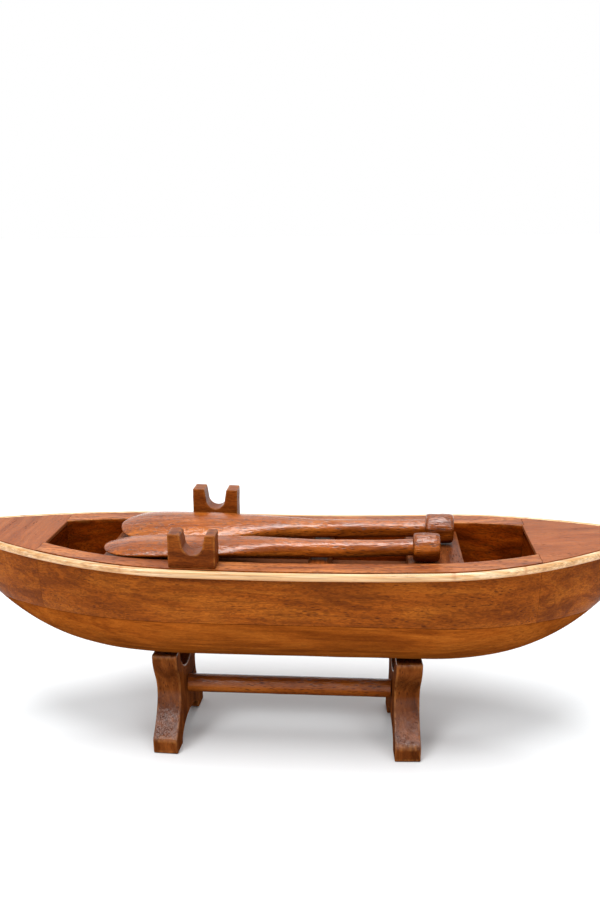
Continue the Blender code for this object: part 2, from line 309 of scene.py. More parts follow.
def add(tree, kind, settings=None, **inputs):
    """Add a shader node, and link or set its inputs by name."""
    made = tree.nodes.new(kind)
    for key, value in (settings or {}).items():
        setattr(made, key, value)
    for key, value in inputs.items():
        socket = made.inputs[key.replace("_", " ")]
        if isinstance(value, bpy.types.NodeSocket):
            tree.links.new(value, socket)
        else:
            socket.default_value = value
    return made


def calc(tree, operation, first, second):
    """Add a Math node and return its result."""
    made = tree.nodes.new("ShaderNodeMath")
    made.operation = operation
    for socket, value in zip(made.inputs, (first, second)):
        if isinstance(value, bpy.types.NodeSocket):
            tree.links.new(value, socket)
        else:
            socket.default_value = value
    return made.outputs[0]


def blend(tree, share, first, second, mode="MIX"):
    """Mix two colours and return the result."""
    made = add(tree, "ShaderNodeMixRGB", {"blend_type": mode}, Fac=share)
    for socket, value in zip(list(made.inputs)[1:], (first, second)):
        if isinstance(value, bpy.types.NodeSocket):
            tree.links.new(value, socket)
        else:
            socket.default_value = (*value, 1.0)
    return made.outputs["Color"]


def ramp(tree, value, stops):
    """Turn a number into a colour or grey through a colour ramp."""
    made = add(tree, "ShaderNodeValToRGB", Fac=value)
    bar = made.color_ramp
    while len(bar.elements) < len(stops):
        bar.elements.new(0.5)
    for element, (where, shade) in zip(bar.elements, stops):
        element.position = where
        element.color = (*shade, 1.0) if isinstance(shade, tuple) else (shade, shade, shade, 1.0)
    return made.outputs["Color"]


GRAIN_AXES = {"X": (1, 0, 0), "Y": (0, 1, 0), "Z": (0, 0, 1)}


def stretched(tree, axis, along, across, seed=0.0, turn=(0.0, 0.0, 0.0)):
    """Coordinates in which features are long along the grain: their sizes in metres."""
    where = add(tree, "ShaderNodeTexCoord").outputs["Object"]
    scale = [1 / along if on else 1 / across for on in GRAIN_AXES[axis]]
    made = add(tree, "ShaderNodeMapping", Vector=where, Scale=scale)
    made.inputs["Location"].default_value = (seed, seed * 1.7, seed * 0.6)
    made.inputs["Rotation"].default_value = [math.radians(a) for a in turn]
    return made.outputs["Vector"]


def cloud(tree, where, detail=3.0, distortion=0.0, roughness=0.5):
    """Noise in the given coordinates."""
    made = add(tree, "ShaderNodeTexNoise", Vector=where, Scale=1.0, Detail=detail,
               Distortion=distortion, Roughness=roughness)
    return made.outputs[0]


def dashes(tree, where, width, patch, share):
    """Short marks scattered in patches: 1 on a mark, 0 elsewhere."""
    cells = add(tree, "ShaderNodeTexVoronoi", Vector=where, Scale=1.0, Randomness=1.0)
    mark = ramp(tree, cells.outputs["Distance"], ((width * 0.5, 1.0), (width, 0.0)))
    spots = ramp(tree, cloud(tree, patch, 2.0), ((1 - share - 0.05, 0.0), (1 - share + 0.05, 1.0)))
    return calc(tree, "MULTIPLY", mark, spots)


def upward(tree):
    """How far a face looks upwards: 1 at the top, 0 on a side and -1 underneath."""
    normal = add(tree, "ShaderNodeNewGeometry").outputs["Normal"]
    return add(tree, "ShaderNodeSeparateXYZ", Vector=normal).outputs["Z"]


def crack(tree, colour, start, end, height, width):
    """Darken a fine crack that runs across Y at one height, on the face towards +X only."""
    spot = add(tree, "ShaderNodeTexCoord").outputs["Object"]
    spot = add(tree, "ShaderNodeSeparateXYZ", Vector=spot).outputs
    wave = cloud(tree, stretched(tree, "X", CRACK_WAVE_SIZE, CRACK_WAVE_SIZE))
    middle = calc(tree, "ADD", calc(tree, "MULTIPLY", wave, CRACK_WAVE), height - CRACK_WAVE / 2)
    off = calc(tree, "ABSOLUTE", calc(tree, "SUBTRACT", spot["Z"], middle), 0.0)
    mask = calc(tree, "LESS_THAN", off, width)
    for limit in (calc(tree, "GREATER_THAN", spot["Y"], start), calc(tree, "LESS_THAN", spot["Y"], end),
                  calc(tree, "GREATER_THAN", spot["X"], 0.0)):
        mask = calc(tree, "MULTIPLY", mask, limit)
    return blend(tree, mask, colour, CRACK_COLOUR)


def wood_colour(tree, look, axis, seed):
    """Layer a wood's colour, and return it with its curl, fibres and pores."""
    size = look.get("figure", 1.0)
    turn = look.get("turn", (0.0, 0.0, 0.0))

    def laid(sizes, shift):
        return stretched(tree, axis, *sizes, seed + shift, turn)

    def darker(colour, share, value, low, high, depth):
        return blend(tree, share, colour, ramp(tree, value, ((low, depth), (high, 1.0))), "MULTIPLY")

    broad = cloud(tree, laid([side * size for side in FIGURE_SIZE], 0), 4.0, 1.3, 0.55)
    colour = ramp(tree, broad, ((0.34, look["dark"]), (0.50, look["mid"]), (0.66, look["light"])))
    blotch = cloud(tree, laid(BLOTCH_SIZE, 5), 2.0)
    colour = darker(colour, look["blotch"], blotch, 0.36, 0.64, 0.62)
    curl = cloud(tree, laid(CURL_SIZE, 15), 3.0, 2.2, 0.6)
    colour = darker(colour, look["curl"], curl, 0.38, 0.60, 0.46)
    streak = ramp(tree, cloud(tree, laid(STREAK_SIZE, 9), 3.0, 0.8), ((0.52, 0.0), (0.64, 1.0)))
    colour = blend(tree, calc(tree, "MULTIPLY", streak, look["streaks"]), colour, look["streak"])
    fibre = cloud(tree, laid(FIBRE_SIZE, 2), 3.0)
    colour = darker(colour, look["fibres"], fibre, 0.32, 0.62, 0.55)
    pores = dashes(tree, laid(PORE_SIZE, 1), PORE_WIDTH,
                   stretched(tree, axis, *PORE_PATCH, seed + 7), look["pores"])
    colour = blend(tree, calc(tree, "MULTIPLY", pores, PORE_SHARE), colour, look["pore"])
    specks = dashes(tree, stretched(tree, axis, *SPECK_SIZE, seed + 4, SPECK_TURN), SPECK_WIDTH,
                    stretched(tree, axis, *SPECK_PATCH, seed + 12), look["specks"])
    colour = blend(tree, calc(tree, "MULTIPLY", specks, SPECK_SHARE), colour, look["speck"])
    # Worn edges: lighter for real wear, and partly a painted highlight on the rounded edges
    worn_and_painted_light = add(tree, "ShaderNodeAttribute", {"attribute_name": "wear_and_painted_light"}).outputs["Fac"]
    rub = ramp(tree, cloud(tree, stretched(tree, axis, *RUB_SIZE, seed + 6), 3.0),
               ((0.40, 0.10), (0.60, 1.0)))
    worn_and_painted_light = calc(tree, "MULTIPLY", calc(tree, "MULTIPLY", worn_and_painted_light, rub), look["worn_and_painted_light"])
    return blend(tree, worn_and_painted_light, colour, look["edge"]), curl, fibre, pores


def wood_lacquer(tree, shader, look, facing, curl, pores):
    """Set a wood's gloss: its lacquer shines on faces that look upwards."""
    gloss = look["rough"]
    shine = ramp(tree, curl, ((0.30, gloss * 0.75), (0.70, gloss * 1.25)))
    tree.links.new(calc(tree, "ADD", shine, calc(tree, "MULTIPLY", pores, 0.25)),
                   shader.inputs["Roughness"])
    shader.inputs["Specular IOR Level"].default_value = look["specular"]
    polish = ramp(tree, facing, ((0.02, COAT_BELOW), (0.45, 1.0)))
    tree.links.new(calc(tree, "MULTIPLY", polish, look["coat"]), shader.inputs["Coat Weight"])
    shader.inputs["Coat IOR"].default_value = look["coat_ior"]
    shader.inputs["Coat Roughness"].default_value = look["coat_rough"]


def wood(name, look, axis="X", seed=0.0):
    """Lacquered hardwood: figure, curl, streaks, fibres, pores, specks, worn edges with a painted
    highlight, and painted shade underneath.
    """
    material = bpy.data.materials.new(name)
    material.use_nodes = True
    tree = material.node_tree
    shader = tree.nodes["Principled BSDF"]
    colour, curl, fibre, pores = wood_colour(tree, look, axis, seed)
    facing = upward(tree)
    # Painted shade: faces grow darker as they look further down
    painted_shade_below = ramp(tree, calc(tree, "ADD", facing, 1.0), ((0.12, UNDERSIDE_PAINTED_SHADE), (0.78, 1.0)))
    colour = blend(tree, 1.0, colour, painted_shade_below, "MULTIPLY")
    if "crack" in look:
        colour = crack(tree, colour, *look["crack"])
    tree.links.new(colour, shader.inputs["Base Color"])
    wood_lacquer(tree, shader, look, facing, curl, pores)
    ripple = cloud(tree, stretched(tree, axis, *RIPPLE_SIZE, seed + 3), 3.0, 0.5, 0.6)
    grain = calc(tree, "SUBTRACT", calc(tree, "ADD", calc(tree, "MULTIPLY", fibre, 0.6), curl), pores)
    fine = add(tree, "ShaderNodeBump", Height=grain, Strength=look["bump"], Distance=FINE_BUMP)
    coarse = add(tree, "ShaderNodeBump", Height=ripple, Strength=look["ripple"],
                 Distance=COARSE_BUMP, Normal=fine.outputs["Normal"])
    tree.links.new(coarse.outputs["Normal"], shader.inputs["Normal"])
    tree.links.new(coarse.outputs["Normal"], shader.inputs["Coat Normal"])
    return material


# Sizes of the wood's features along and across the grain
FIGURE_SIZE = (0.060, 0.0095)
BLOTCH_SIZE = (0.030, 0.014)
CURL_SIZE = (0.0046, 0.0013)
STREAK_SIZE = (0.040, 0.0016)
FIBRE_SIZE = (0.0120, 0.00055)
PORE_SIZE = (0.0042, 0.00075)
PORE_PATCH = (0.020, 0.006)
SPECK_SIZE = (0.0026, 0.00070)
SPECK_PATCH = (0.013, 0.008)
SPECK_TURN = (7, 11, 13)
RUB_SIZE = (0.006, 0.002)
RIPPLE_SIZE = (0.0080, 0.0032)

# Width of the marks as a share of their cells, and how strongly they colour the wood
PORE_WIDTH = 0.34
PORE_SHARE = 0.85
SPECK_WIDTH = 0.26
SPECK_SHARE = 0.30

# Depths of the fine grain and of the waves left by sanding
FINE_BUMP = 0.00016
COARSE_BUMP = 0.00045

COAT_BELOW = 0.03   # share of the lacquer's shine left on upright and downward faces
# Painted shade on downward faces
UNDERSIDE_PAINTED_SHADE = 0.40    # how much of its colour a face keeps when it looks straight down

# edge is the lighter colour of worn edges, partly a painted highlight
HULL = dict(dark=(0.240, 0.052, 0.0045), mid=(0.370, 0.086, 0.0070), light=(0.480, 0.126, 0.0120),
            streak=(0.110, 0.023, 0.003), pore=(0.050, 0.011, 0.003), speck=(0.70, 0.32, 0.10),
            edge=(0.55, 0.22, 0.050), rough=0.36, specular=0.04, coat=0.50, coat_rough=0.20,
            coat_ior=1.40, blotch=0.45, curl=0.75, streaks=0.30, fibres=0.50, pores=0.45, specks=0.14,
            worn_and_painted_light=0.30, bump=0.60, ripple=0.35)
KEEL = dict(HULL, dark=(0.270, 0.060, 0.0065), mid=(0.390, 0.094, 0.0100), light=(0.480, 0.128, 0.0150),
            curl=0.40, pores=0.30, specks=0.10, fibres=0.40, streaks=0.35, rough=0.40, specular=0.0)
END = dict(HULL, figure=0.8, pores=0.25, specks=0.12, turn=(0.0, 24.0, 0.0))
# Rail top: a lighter, lit copy of the plank's wood, painted light
RAIL_PAINTED_LIGHT = dict(HULL, dark=(0.290, 0.068, 0.015), mid=(0.530, 0.150, 0.033), light=(0.680, 0.225, 0.055),
            streak=(0.130, 0.030, 0.010), pore=(0.055, 0.013, 0.005), rough=0.40, pores=0.66,
            streaks=0.60, bump=0.60, specular=0.08, curl=0.50)
DECK = dict(RAIL_PAINTED_LIGHT, dark=(0.310, 0.080, 0.023), mid=(0.400, 0.112, 0.033), light=(0.470, 0.145, 0.045),
            streaks=0.12, pores=0.40, rough=0.42, blotch=0.30, fibres=0.30, coat=0.25, curl=0.55)
# Well inside and bulkhead faces: a darker copy of the hull's wood, painted shade
WELL_PAINTED_SHADE = dict(HULL, dark=(0.120, 0.016, 0.0008), mid=(0.270, 0.040, 0.0022), light=(0.420, 0.078, 0.0045),
            rough=0.46, specular=0.0, coat=0.05, streaks=0.60, curl=0.75, specks=0.05)
FLOOR = dict(HULL, dark=(0.150, 0.045, 0.018), mid=(0.220, 0.072, 0.030), light=(0.290, 0.100, 0.044),
             rough=0.55, coat=0.10, streaks=0.30)
SEAT = dict(HULL, dark=(0.150, 0.034, 0.008), mid=(0.240, 0.060, 0.015), light=(0.310, 0.088, 0.024),
            edge=(0.40, 0.13, 0.035), rough=0.40, coat=0.40)
THWART = dict(SEAT, mid=(0.300, 0.072, 0.014), light=(0.400, 0.110, 0.024), coat=0.15, worn_and_painted_light=0.50)
PADDLE = dict(HULL, dark=(0.290, 0.060, 0.005), mid=(0.490, 0.116, 0.011), light=(0.640, 0.180, 0.022),
              rough=0.32, specular=0.05, coat=1.0, coat_rough=0.13, coat_ior=1.54, ripple=1.05,
              pores=0.64, streaks=0.34, curl=0.55)
GRIP = dict(PADDLE, dark=(0.190, 0.036, 0.003), mid=(0.350, 0.078, 0.007), light=(0.500, 0.130, 0.014),
            ripple=1.3, pores=0.60, bump=0.9, specular=0.0, coat=1.0, coat_rough=0.09)
BLOCK = dict(HULL, dark=(0.170, 0.034, 0.0035), mid=(0.290, 0.066, 0.0080), light=(0.370, 0.094, 0.0120),
             rough=0.42, coat=0.40, coat_ior=1.50, specks=0.12, worn_and_painted_light=0.25, streaks=0.20, pores=0.35)
STAND = dict(HULL, dark=(0.100, 0.023, 0.0040), mid=(0.172, 0.042, 0.0075), light=(0.260, 0.070, 0.0135),
             streak=(0.055, 0.012, 0.003), edge=(0.48, 0.19, 0.050), rough=0.36, specular=0.0,
             coat=0.90, coat_rough=0.24, coat_ior=1.52, worn_and_painted_light=0.30, streaks=0.12, fibres=0.25,
             curl=0.45, bump=1.0, ripple=1.0, pores=0.55, specks=0.30)
ROD = dict(STAND, dark=(0.230, 0.050, 0.006), mid=(0.340, 0.082, 0.010), light=(0.430, 0.116, 0.017),
           coat=1.0, coat_rough=0.16, coat_ior=1.62, specks=0.20)
# Crack beside the rod in one plate: its two ends across Y, its height and half its width
PLATE_CRACK = {"stand_bow": (0.0052, 0.0150, 0.0262, 0.00050)}
CRACK_WAVE = 0.002
CRACK_WAVE_SIZE = 0.003
CRACK_COLOUR = (0.010, 0.003, 0.001)


# Hull

def bottom_block():
    """Carved bottom of the hull, from keel to glue line."""
    bow = tip_where(lambda x: GLUE_LINE - keel(x), -1, GAP)
    stern = tip_where(lambda x: GLUE_LINE - keel(x), 1, GAP)
    stations = eased(0.0, bow, HULL_STATIONS)[:0:-1] + eased(0.0, stern, HULL_STATIONS)
    rows = []
    for x in stations:
        start = side_angle(x, GLUE_LINE - SEAM)
        angles = spread(start, math.pi / 2, 30)
        row = [side_point(x, a, 1) for a in angles]
        row += [side_point(x, a, -1) for a in reversed(angles[:-1])]
        rows.append(row)
    look = wood("bottom_wood", KEEL, seed=1.0)
    place(build("bottom", rows, "canoe", [look]), "bottom_block")


def end_block(end):
    """Solid end of the hull under its deck, from bulkhead to tip."""
    sign = END_SIGN[end]
    tip = tip_where(wood_half, sign, STEM_HALF)
    rows = []
    for x in spread(sign * BULKHEAD_X, tip, HULL_STATIONS):
        top = rim(x) - DECK_THICKNESS - SEAM
        start = side_angle(x, top)
        angles = spread(start, min(side_angle(x, GLUE_LINE + SEAM), math.pi / 2), 26)
        row = [side_point(x, a, 1) for a in angles]
        row += [side_point(x, a, -1) for a in reversed(angles)]
        rows.append(row)
    look = wood(end + "_block_wood", END, seed=21.0 if sign > 0 else 27.0)
    # Bulkhead face: painted shade
    inner = wood(end + "_bulkhead_painted_shade_wood", WELL_PAINTED_SHADE, axis="Y", seed=23.0)
    piece = build(end + "_end", rows, "canoe", [look, inner], caps=1)
    place(piece, end + "_block")


def side_plank(name, side):
    """Side of the hull beside the well; its flat top is the rail."""
    reach = BULKHEAD_X - SEAM
    rows = []
    for x in spread(-reach, reach, SIDE_STATIONS):
        angles = spread(side_angle(x, GLUE_LINE + SEAM), 0.0, SIDE_STEPS)
        row = [side_point(x, a, side) for a in angles]
        inner = well_half(x) + WALL_WAVE * rough(x, 0.0, side, 0.013, 2.0)
        outer = abs(row[-1][1])
        edge = RAIL_EDGE + RAIL_EDGE / 3 * rough(x, 3.0, side, 0.009)
        for share in spread(0.0, 1.0, RAIL_STEPS)[1:]:
            y = mix(outer, inner + edge, share)
            z = rim(x) - RAIL_DIP * (1 + rough(x, y, side, 0.012, 6.0)) * math.sin(math.pi * share)
            row.append((x, side * y, z))
        for turn in spread(0.0, math.pi / 2, EDGE_STEPS)[1:]:
            y = inner + edge * (1 - math.sin(turn))
            row.append((x, side * y, rim(x) - edge * (1 - math.cos(turn)), 0.8))
        for z in spread(rim(x) - edge - 0.0015, GLUE_LINE + SEAM, 8):
            row.append((x, side * inner, z))
        rows.append(row)
    top_start = SIDE_STEPS - 1
    wall_start = top_start + RAIL_STEPS - 1 + EDGE_STEPS - 1

    def zone(i):
        if i < top_start:
            return 0
        return 1 if i < wall_start else 2

    seed = 31.0 + side
    # One plank in three looks: a lit top and a shaded inside, painted light and shade
    looks = [wood(name + "_outside", HULL, seed=seed), wood(name + "_rail_painted_light", RAIL_PAINTED_LIGHT, seed=seed + 3),
             wood(name + "_inside_painted_shade", WELL_PAINTED_SHADE, seed=seed + 6)]
    place(build(name + "_plank", rows, "canoe", looks, zone), name)


def board_rows(x0, x1, stations, half_at, top_at, thickness, edge, columns=16):
    """Rows of a board that lies across the canoe, with its end edges rounded."""
    rows = []
    turns = spread(0.0, math.pi / 2, EDGE_STEPS)
    places = [(x0 + edge * (1 - math.cos(a)), edge * (1 - math.sin(a)), 0.9) for a in turns]
    places += [(x0 + 2 * edge, 0.0, 0.0)]
    places += [(x, 0.0, 0.0) for x in spread(x0 + 3 * edge, x1 - 3 * edge, stations)]
    places += [(x1 - 2 * edge, 0.0, 0.0)]
    places += [(x1 - edge * (1 - math.cos(a)), edge * (1 - math.sin(a)), 0.9) for a in reversed(turns)]
    for x, drop, wear_and_painted_light in places:
        half = half_at(x)
        top = top_at(x)
        row = [(x, half * c, top - drop - BOARD_DIP * (1 + rough(x, half * c, 0.0, 0.012)), wear_and_painted_light)
               for c in spread(1.0, -1.0, columns)]
        row += [(x, half * c, top - thickness + drop, wear_and_painted_light) for c in spread(-1.0, 1.0, columns)]
        rows.append(row)
    return rows


def deck(end):
    """Thin deck plate on an end block: flush with the rails, with a lip over the bulkhead."""
    sign = END_SIGN[end]
    tip = tip_where(wood_half, sign, STEM_HALF)
    rows = []
    start = BULKHEAD_X - DECK_LIP
    places = [(start + DECK_EDGE * (1 - math.cos(a)), DECK_EDGE * (1 - math.sin(a)), 0.2)
              for a in spread(0.0, math.pi / 2, EDGE_STEPS)]
    places += [(start + 1.6 * DECK_EDGE, 0.0, 0.0), (BULKHEAD_X + SEAM, 0.0, 0.0)]
    lip_count = len(places)
    places += [(x, 0.0, 0.0) for x in spread(BULKHEAD_X + SEAM, abs(tip), 60)]
    for index, (distance, drop, wear_and_painted_light) in enumerate(places):
        x = sign * distance
        inner = well_half(x) - SEAM
        outer = inner if index < lip_count else wood_half(x) - SEAM
        inner = min(max(inner, outer / 2), outer)
        across = [outer] + [inner * c for c in spread(1.0, -1.0, DECK_COLUMNS)] + [-outer]
        top = rim(x)
        row = [(x, y, top - drop - DECK_DIP * (1 + rough(x, y, 0.0, 0.016, 8.0)), wear_and_painted_light) for y in across]
        row += [(x, y, top - DECK_THICKNESS + drop, wear_and_painted_light) for y in reversed(across)]
        rows.append(row)
    look = wood(end + "_deck_wood", DECK, axis="Y" if end == "bow" else "X", seed=41.0 + sign)
    place(build(end + "_top", rows, "canoe", [look]), end + "_deck")


def cane_profile():
    """Ring round the split cane as angles with places from -1 to 1 across and up."""
    ring = []
    for i in range(CANE_POINTS):
        a = 2 * math.pi * i / CANE_POINTS
        u = math.copysign(abs(math.cos(a)) ** CANE_SQUARE, math.cos(a))
        v = math.copysign(abs(math.sin(a)) ** CANE_SQUARE, math.sin(a))
        ring.append((a, u, v))
    return ring


# Worn grooves as angles round the cane with their widths, and the places of its nodes along X
CANE_SQUARE = 0.62
CANE_TIP = 0.0005
CANE_GROOVES = ((0.10, 0.16), (0.66, 0.10), (1.10, 0.20), (-0.75, 0.22))
CANE_NODES = {"cane_near": (0.0740, 0.1045, -0.0700), "cane_far": (-0.0930, 0.0180, 0.1150)}
CANE_NODE_WIDTH = 0.0007


def cane_dent(x, a, side):
    """Depth of the cane's grooves at a place along it and an angle round it."""
    dent = 0.0
    for where, width in CANE_GROOVES:
        depth = 0.5 + 0.5 * rough(x, where * 10, side, 0.030, where)
        middle = where * (1 + 0.1 * rough(x, where, 2.0, 0.05))
        dent += depth * math.exp(-((a - middle) / width) ** 2)
    return dent


def cane_strip(name, side):
    """Split cane strip bent round the top edge of the hull, from tip to tip."""
    bow = tip_where(beam, -1, CANE_TIP)
    stern = tip_where(beam, 1, CANE_TIP)
    rows = []
    for x in eased(0.0, bow, CANE_STATIONS)[:0:-1] + eased(0.0, stern, CANE_STATIONS):
        outer = beam(x)
        inner = max(outer - CANE_WIDTH * slant(x) + SEAM, SEAM / 2)
        half = (outer - inner) / 2
        middle = (outer + inner) / 2
        tall = CANE_HEIGHT / 2 * (1 - 0.04 * (1 + rough(x, side, 0.0, 0.018, 1.0)))
        row = []
        knot = sum(math.exp(-((x - n) / CANE_NODE_WIDTH) ** 2) for n in CANE_NODES[name])
        for a, u, v in cane_profile():
            dent = cane_dent(x, a, side)
            near = 1 - 0.055 * min(dent, 1.4) - 0.05 * knot * (1 if v > 0 else 0.3)
            y = middle + half * u * min(1.0, near)
            z = rim(x) - CANE_HEIGHT / 2 + tall * v * near
            # Mark for the grooves' painted shade and the nodes' darker colour
            row.append((x, side * y, z, min(1.0, 0.9 * dent + 0.9 * knot)))
        rows.append(row)
    skin = cane_material(name, 51.0 + side)
    place(build(name + "_strip", rows, "canoe", [skin], sharp=70.0), name)


# Colours of the cane: dark, middle and light skin, dashes, painted shade in the grooves that also
# colours the nodes, and painted shade on the underside
CANE_COLOURS = ((0.62, 0.30, 0.09), (0.82, 0.50, 0.22), (0.94, 0.70, 0.42))
CANE_DASH = (0.34, 0.120, 0.028)
CANE_GROOVE_SHADE_AND_NODE = (0.46, 0.185, 0.048)
CANE_PAINTED_SHADE_BELOW = (0.56, 0.25, 0.075)


def cane_material(name, seed):
    """Pale split cane: long fibres, brown dashes, painted shade in its grooves, darker nodes, painted
    shade underneath and a satin skin.
    """
    material = bpy.data.materials.new(name + "_skin")
    material.use_nodes = True
    tree = material.node_tree
    shader = tree.nodes["Principled BSDF"]
    broad = cloud(tree, stretched(tree, "X", 0.050, 0.0016, seed), 3.0, 0.3)
    colour = ramp(tree, broad, tuple(zip((0.34, 0.50, 0.66), CANE_COLOURS)))
    fibre = cloud(tree, stretched(tree, "X", 0.020, 0.00050, seed + 3), 3.0)
    colour = blend(tree, 0.75, colour, ramp(tree, fibre, ((0.38, 0.50), (0.56, 1.0))), "MULTIPLY")
    dash = dashes(tree, stretched(tree, "X", 0.0050, 0.00060, seed + 1), 0.32,
                  stretched(tree, "X", 0.018, 0.0030, seed + 5), 0.45)
    colour = blend(tree, calc(tree, "MULTIPLY", dash, 0.75), colour, CANE_DASH)
    # Painted shade in the grooves, and the darker colour of the nodes
    worn_and_painted_light = add(tree, "ShaderNodeAttribute", {"attribute_name": "wear_and_painted_light"}).outputs["Fac"]
    colour = blend(tree, calc(tree, "MULTIPLY", worn_and_painted_light, 0.85), colour, CANE_GROOVE_SHADE_AND_NODE)
    # Painted shade: the underside turns darker orange-brown
    painted_shade_below = ramp(tree, calc(tree, "ADD", upward(tree), 0.5), ((0.10, 1.0), (0.60, 0.0)))
    colour = blend(tree, calc(tree, "MULTIPLY", painted_shade_below, 0.85), colour, CANE_PAINTED_SHADE_BELOW)
    tree.links.new(colour, shader.inputs["Base Color"])
    tree.links.new(ramp(tree, broad, ((0.3, 0.46), (0.7, 0.34))), shader.inputs["Roughness"])
    shader.inputs["Coat Weight"].default_value = 0.7
    shader.inputs["Coat Roughness"].default_value = 0.22
    bump = add(tree, "ShaderNodeBump", Height=fibre, Strength=0.5, Distance=0.00006)
    tree.links.new(bump.outputs["Normal"], shader.inputs["Normal"])
    return material


# Inside the well

def floor():
    """Flat floor of the well."""
    low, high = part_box("floor_board")
    rows = board_rows(low.x, high.x, 40, lambda x: well_half(x) - 2 * SEAM, lambda x: high.z,
                      high.z - low.z, FLOOR_EDGE)
    look = wood("floor_wood", FLOOR, seed=61.0)
    place(build("floor", rows, "canoe", [look]), "floor_board")


def seat(name, seed):
    """Wide board across the well with rounded edges."""
    low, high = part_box(name)
    rows = board_rows(low.x, high.x, 16, lambda x: well_half(x) - 2 * SEAM, lambda x: high.z,
                      BOARD_THICKNESS, BOARD_EDGE, 24)
    look = wood(name + "_wood", SEAT, axis="Y", seed=seed)
    place(build(name + "_board", rows, "canoe", [look]), name)


def thwart():
    """Narrow bar across the well with its long top edges planed off by hand."""
    low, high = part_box("thwart")
    half = well_half(low.x) - 2 * SEAM
    rows = []
    for y in spread(-half, half, 60):
        cut = THWART_CUT + 0.0004 * rough(y, 1.0, 0.0, 0.008)
        cut_far = THWART_CUT + 0.0004 * rough(y, 7.0, 0.0, 0.008)
        soft = THWART_EDGE
        top = high.z - 0.0001 * (1 + rough(y, 3.0, 0.0, 0.01))
        profile = [(low.x, low.z, 0.2), (high.x, low.z, 0.2), (high.x, top - cut_far - soft, 0.2),
                   (high.x - soft, top - cut_far, 0.9), (high.x - cut_far, top - soft, 0.9),
                   (high.x - cut_far - soft, top, 0.6), (high.x - cut_far - 4 * soft, top, 0.0),
                   (low.x + cut + 4 * soft, top, 0.0), (low.x + cut + soft, top, 0.6),
                   (low.x + cut, top - soft, 0.9), (low.x + soft, top - cut, 0.9),
                   (low.x, top - cut - soft, 0.2)]
        rows.append([(x, y, z, w) for x, z, w in profile])
    look = wood("thwart_wood", THWART, axis="Y", seed=71.0)
    place(build("thwart_bar", rows, "canoe", [look]), "thwart")


# Slabs: rowlocks and stand plates

def trace(corners, radius, step):
    """Resample an outline with its sharp corners rounded.

    Each point comes with a corner mark, and with a place and a direction for its inset copies."""
    path = []
    count = len(corners)
    for i in range(count):
        before = (Vector(corners[i]) - Vector(corners[i - 1])).normalized()
        after = (Vector(corners[(i + 1) % count]) - Vector(corners[i])).normalized()
        here = Vector(corners[i])
        mitre = Vector((-before.y - after.y, before.x + after.x)) / (1 + before.dot(after))
        if before.angle(after) < math.radians(30):
            path.append((here, 0.0, here, mitre))
            continue
        start = here - before * radius
        end = here + after * radius
        for t in spread(0.0, 1.0, 5):
            point = start * (1 - t) ** 2 + here * (2 * t * (1 - t)) + end * t ** 2
            path.append((point, 1.0, here, mitre))
    fine = []
    for i, knot in enumerate(path):
        following = path[(i + 1) % len(path)][0]
        fine.append(knot)
        run = following - knot[0]
        pieces = max(1, int(run.length / step))
        inward = Vector((-run.y, run.x)).normalized()
        for k in range(1, pieces):
            point = knot[0].lerp(following, k / pieces)
            fine.append((point, 0.0, point, inward))
    return fine


def slab(name, corners, depth, edges, put, look):
    """Thick plate of the canoe or its stand with rounded, worn edges, painted lighter as wear and as a
    highlight.

    Its outline runs counter-clockwise; edges are the edge's and the corners' radius and an inset."""
    edge, corner_radius, reach = edges
    fine = trace(corners, corner_radius, TRACE_STEP)
    levels = [(reach, 0.0, 0.0)]
    levels += [(edge * (1 - math.sin(a)), edge * (1 - math.cos(a)), 1.0)
               for a in spread(0.0, math.pi / 2, EDGE_STEPS)]
    levels += [(0.0, reach, 0.0)]
    middle = [(0.0, d, 0.0) for d in spread(reach, depth - reach, 5)[1:-1]]
    mirrored = [(inset, depth - d, wear_and_painted_light) for inset, d, wear_and_painted_light in reversed(levels)]
    rows = []
    for inset, d, wear_and_painted_light in levels + middle + mirrored:
        row = []
        for point, mark, base, direction in fine:
            share = min(1.0, inset / corner_radius) if mark else 1.0
            u, v = point.lerp(base, share) + direction * inset
            row.append((*put(u, v, d), max(wear_and_painted_light, mark) if not inset else wear_and_painted_light))
        rows.append(row)
    return build(name, rows, "canoe", [look], sharp=50.0)


def rowlock(name, side):
    """Block with a U notch, glued on the rail."""
    place_x, length, height, shift, deep = ROWLOCKS[name]
    half = length / 2
    radius = NOTCH_BOTTOM / 2
    centre = height - deep + radius
    outline = [(-half, 0.0), (half, 0.0), (half, height)]
    outline.append((shift + NOTCH_TOP / 2, height))
    for angle in spread(0.0, -math.pi, 19):
        outline.append((shift + radius * math.cos(angle), centre + radius * math.sin(angle)))
    outline.append((shift - NOTCH_TOP / 2, height))
    outline.append((-half, height))
    lean = -math.atan(2 * SHEER * place_x / BULKHEAD_X ** 2)
    look = wood(name + "_wood", BLOCK, axis="X", seed=81.0 + side)

    def put(u, v, d):
        wave = ROWLOCK_WAVE * rough(u, v, d + side, 0.005, 3.0)
        return (u + wave, d - ROWLOCK_DEPTH / 2, v)

    edges = (ROWLOCK_EDGE, ROWLOCK_CORNER, ROWLOCK_INSET)
    piece = slab(name + "_block", outline, ROWLOCK_DEPTH, edges, put, look)
    middle = ROWLOCK_INNER_Y + ROWLOCK_DEPTH / 2
    piece.matrix_world = Matrix.Translation((place_x, side * middle, rim(place_x))) @ \
        Euler((0.0, lean, 0.0)).to_matrix().to_4x4()
    place(piece, name)


